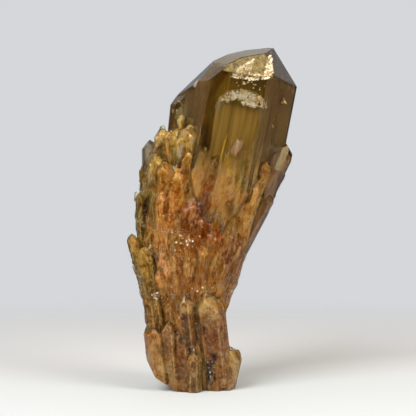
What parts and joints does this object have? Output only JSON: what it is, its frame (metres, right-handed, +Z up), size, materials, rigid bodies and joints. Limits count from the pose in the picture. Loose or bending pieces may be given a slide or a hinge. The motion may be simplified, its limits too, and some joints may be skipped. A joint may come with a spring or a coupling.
{
  "type": "citrine cluster",
  "caption": "Natural citrine crystal cluster: one large clear pointed crystal leaning out of a jacket of smaller intergrown crystals, broken off flat beneath so that it stands.",
  "frame": {"origin": "middle of the bounding box in plan, on the plane of the broken underside", "axes": "+Z up along the cluster's height, +X to the side the large crystal leans, -Y to the front"},
  "size_m": [0.0599, 0.0392, 0.1206],
  "materials": {
    "citrine_quartz": "clear smoky citrine at the tip, cloudy iron-stained quartz below, glassy natural crystal faces"
  },
  "bodies": {
    "root": {"crystal_cluster": "citrine_quartz"}
  },
  "joints": []
}
